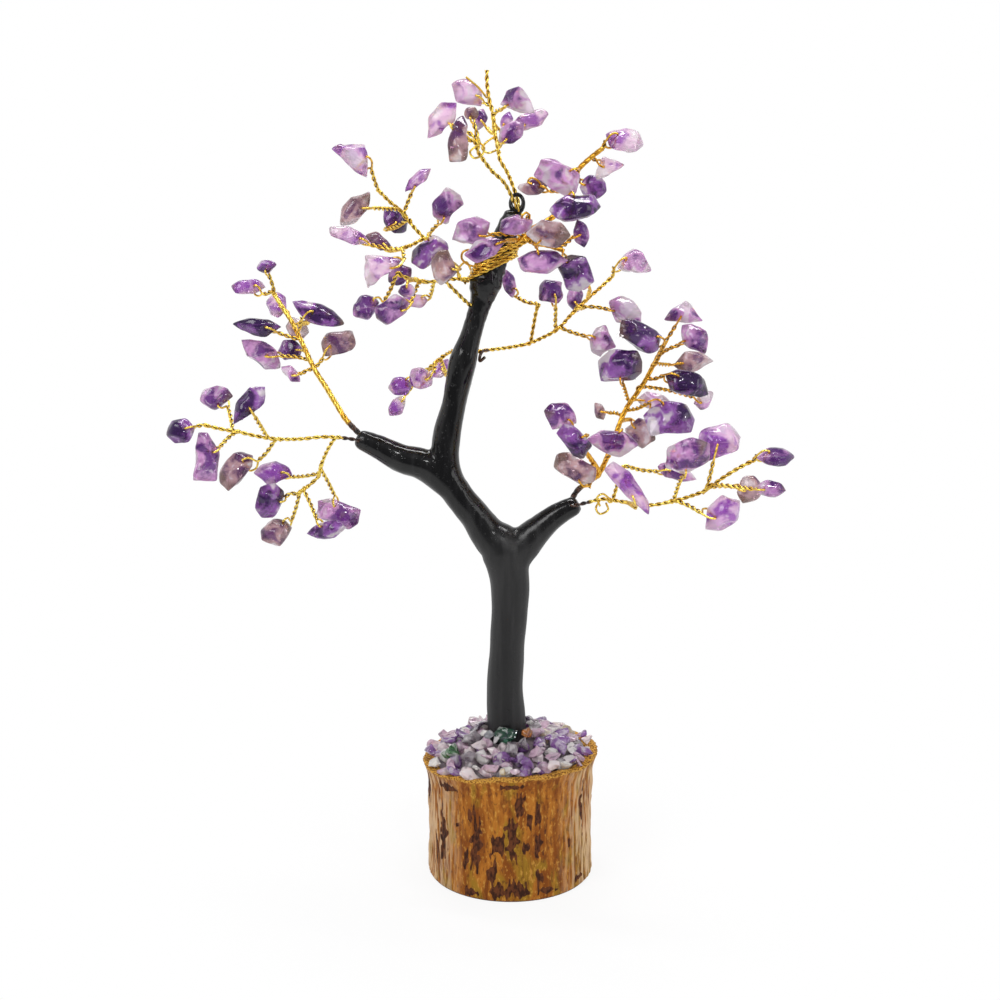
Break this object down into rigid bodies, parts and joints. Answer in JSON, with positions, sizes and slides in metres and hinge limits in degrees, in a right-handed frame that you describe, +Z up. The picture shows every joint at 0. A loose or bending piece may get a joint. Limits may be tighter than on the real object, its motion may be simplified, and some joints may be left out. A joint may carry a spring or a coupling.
{
  "type": "gemstone tree ornament",
  "caption": "Gemstone tree ornament: a forked black trunk on a bark-covered log with gem gravel, and bendable gold wire branches threaded with drilled amethyst chips.",
  "frame": {"origin": "centre of the log's flat underside, on the surface it stands on", "axes": "+Z up along the height, +X to the viewer's right, -Y towards the viewer"},
  "size_m": [0.1474, 0.0583, 0.1996],
  "materials": {
    "log_wood": "sawn, dull",
    "bark": "rough bark with dark patches and a grainy ochre rim",
    "glue": "set glue under the gravel",
    "trunk_coat": "gloss black, brushed along the limbs",
    "core_wire": "plain wire, hidden",
    "gold_wire": "bright gold-toned twisted wire",
    "amethyst_deep": "tumbled, polished, translucent",
    "amethyst_mid": "tumbled, polished, translucent",
    "amethyst_pale": "tumbled, polished, translucent",
    "amethyst_smoky": "tumbled, polished, translucent",
    "gravel_amethyst": "tumbled chips",
    "gravel_quartz": "tumbled chips, clear to grey",
    "gravel_colour": "tumbled chips, green, orange and straw"
  },
  "bodies": {
    "trunk_and_base": {"base_log": "log_wood", "bark": "bark", "glue_bed": "glue", "trunk": "trunk_coat", "trunk_core": "core_wire", "binding_wire": "gold_wire", "gravel_amethyst": "gravel_amethyst", "gravel_quartz": "gravel_quartz", "gravel_colour": "gravel_colour"},
    "left_low_spray": {"left_low_stem": "gold_wire", "left_low_twigs": "gold_wire", "left_low_mid_chips": "amethyst_mid", "left_low_smoky_chips": "amethyst_smoky", "left_low_deep_chips": "amethyst_deep"},
    "left_end_chip": {"left_end_chip": "amethyst_deep"},
    "left_hanging_chip": {"left_hanging_chip": "amethyst_pale"},
    "left_high_spray": {"left_high_stem": "gold_wire", "left_high_twigs": "gold_wire", "left_high_pale_chips": "amethyst_pale", "left_high_deep_chips": "amethyst_deep", "left_high_mid_chips": "amethyst_mid", "left_high_smoky_chips": "amethyst_smoky"},
    "mid_left_spray": {"mid_left_stem": "gold_wire", "mid_left_twigs": "gold_wire", "mid_left_pale_chips": "amethyst_pale", "mid_left_smoky_chips": "amethyst_smoky", "mid_left_deep_chips": "amethyst_deep", "mid_left_mid_chips": "amethyst_mid"},
    "top_left_spray": {"top_left_stem": "gold_wire", "top_left_twigs": "gold_wire", "top_left_pale_chips": "amethyst_pale", "top_left_smoky_chips": "amethyst_smoky"},
    "top_right_spray": {"top_right_stem": "gold_wire", "top_right_twigs": "gold_wire", "top_right_pale_chips": "amethyst_pale", "top_right_mid_chips": "amethyst_mid"},
    "upper_right_spray": {"upper_right_stem": "gold_wire", "upper_right_twigs": "gold_wire", "upper_right_pale_chips": "amethyst_pale", "upper_right_mid_chips": "amethyst_mid", "upper_right_smoky_chips": "amethyst_smoky", "upper_right_deep_chips": "amethyst_deep"},
    "mid_right_spray": {"mid_right_stem": "gold_wire", "mid_right_twigs": "gold_wire", "mid_right_mid_chips": "amethyst_mid"},
    "back_left_spray": {"back_left_stem": "gold_wire", "back_left_twigs": "gold_wire", "back_left_pale_chips": "amethyst_pale"},
    "right_high_spray": {"right_high_stem": "gold_wire", "right_high_twigs": "gold_wire", "right_high_mid_chips": "amethyst_mid", "right_high_deep_chips": "amethyst_deep", "right_high_smoky_chips": "amethyst_smoky"},
    "right_low_spray": {"right_low_stem": "gold_wire", "right_low_twigs": "gold_wire", "right_low_mid_chips": "amethyst_mid", "right_low_pale_chips": "amethyst_pale"},
    "right_end_chip": {"right_end_chip": "amethyst_mid"},
    "right_hanging_chip": {"right_hanging_chip": "amethyst_smoky"}
  },
  "joints": [
    {"name": "left_low_bend", "type": "hinge", "parent": "trunk_and_base", "child": "left_low_spray", "pos_m": [-0.03516, -0.00156, 0.11184], "axis": [0, 1, 0], "range_deg": [-8, 8]},
    {"name": "left_end_chip_turn", "type": "hinge", "parent": "left_low_spray", "child": "left_end_chip", "pos_m": [-0.07629, -0.01341, 0.11682], "axis": [-0.0606, -0.9767, 0.2058], "range_deg": [-20, 20]},
    {"name": "left_hanging_chip_turn", "type": "hinge", "parent": "left_low_spray", "child": "left_hanging_chip", "pos_m": [-0.05773, 0.00952, 0.10141], "axis": [0.1332, -0.866, 0.4819], "range_deg": [0, 25]},
    {"name": "left_high_bend", "type": "hinge", "parent": "trunk_and_base", "child": "left_high_spray", "pos_m": [-0.03533, 0.00159, 0.11147], "axis": [0, 1, 0], "range_deg": [-8, 8]},
    {"name": "mid_left_bend", "type": "hinge", "parent": "trunk_and_base", "child": "mid_left_spray", "pos_m": [-0.00894, -0.00123, 0.15105], "axis": [0, 1, 0], "range_deg": [-10, 8]},
    {"name": "top_left_bend", "type": "hinge", "parent": "trunk_and_base", "child": "top_left_spray", "pos_m": [0.00067, -0.00161, 0.16919], "axis": [0, 1, 0], "range_deg": [-10, 6]},
    {"name": "top_right_bend", "type": "hinge", "parent": "trunk_and_base", "child": "top_right_spray", "pos_m": [0.00155, 0.00153, 0.16922], "axis": [0, 1, 0], "range_deg": [-6, 10]},
    {"name": "upper_right_bend", "type": "hinge", "parent": "trunk_and_base", "child": "upper_right_spray", "pos_m": [-0.0009, -0.00204, 0.15909], "axis": [0, 1, 0], "range_deg": [-4, 10]},
    {"name": "mid_right_bend", "type": "hinge", "parent": "trunk_and_base", "child": "mid_right_spray", "pos_m": [-0.00938, 0.0017, 0.13316], "axis": [0, 1, 0], "range_deg": [-10, 10]},
    {"name": "back_left_bend", "type": "hinge", "parent": "trunk_and_base", "child": "back_left_spray", "pos_m": [-0.01202, 0.00179, 0.1345], "axis": [0, 1, 0], "range_deg": [-10, 10]},
    {"name": "right_high_bend", "type": "hinge", "parent": "trunk_and_base", "child": "right_high_spray", "pos_m": [0.01433, 0.00163, 0.09484], "axis": [0, 1, 0], "range_deg": [-6, 10]},
    {"name": "right_low_bend", "type": "hinge", "parent": "trunk_and_base", "child": "right_low_spray", "pos_m": [0.01442, -0.00172, 0.09553], "axis": [0, 1, 0], "range_deg": [-8, 8]},
    {"name": "right_end_chip_turn", "type": "hinge", "parent": "right_low_spray", "child": "right_end_chip", "pos_m": [0.05937, -0.02008, 0.11154], "axis": [0.204, -0.6797, 0.7045], "range_deg": [0, 25]},
    {"name": "right_hanging_chip_turn", "type": "hinge", "parent": "right_low_spray", "child": "right_hanging_chip", "pos_m": [0.05552, -0.01127, 0.10218], "axis": [0.1215, -0.9845, -0.1268], "range_deg": [-15, 25]}
  ]
}
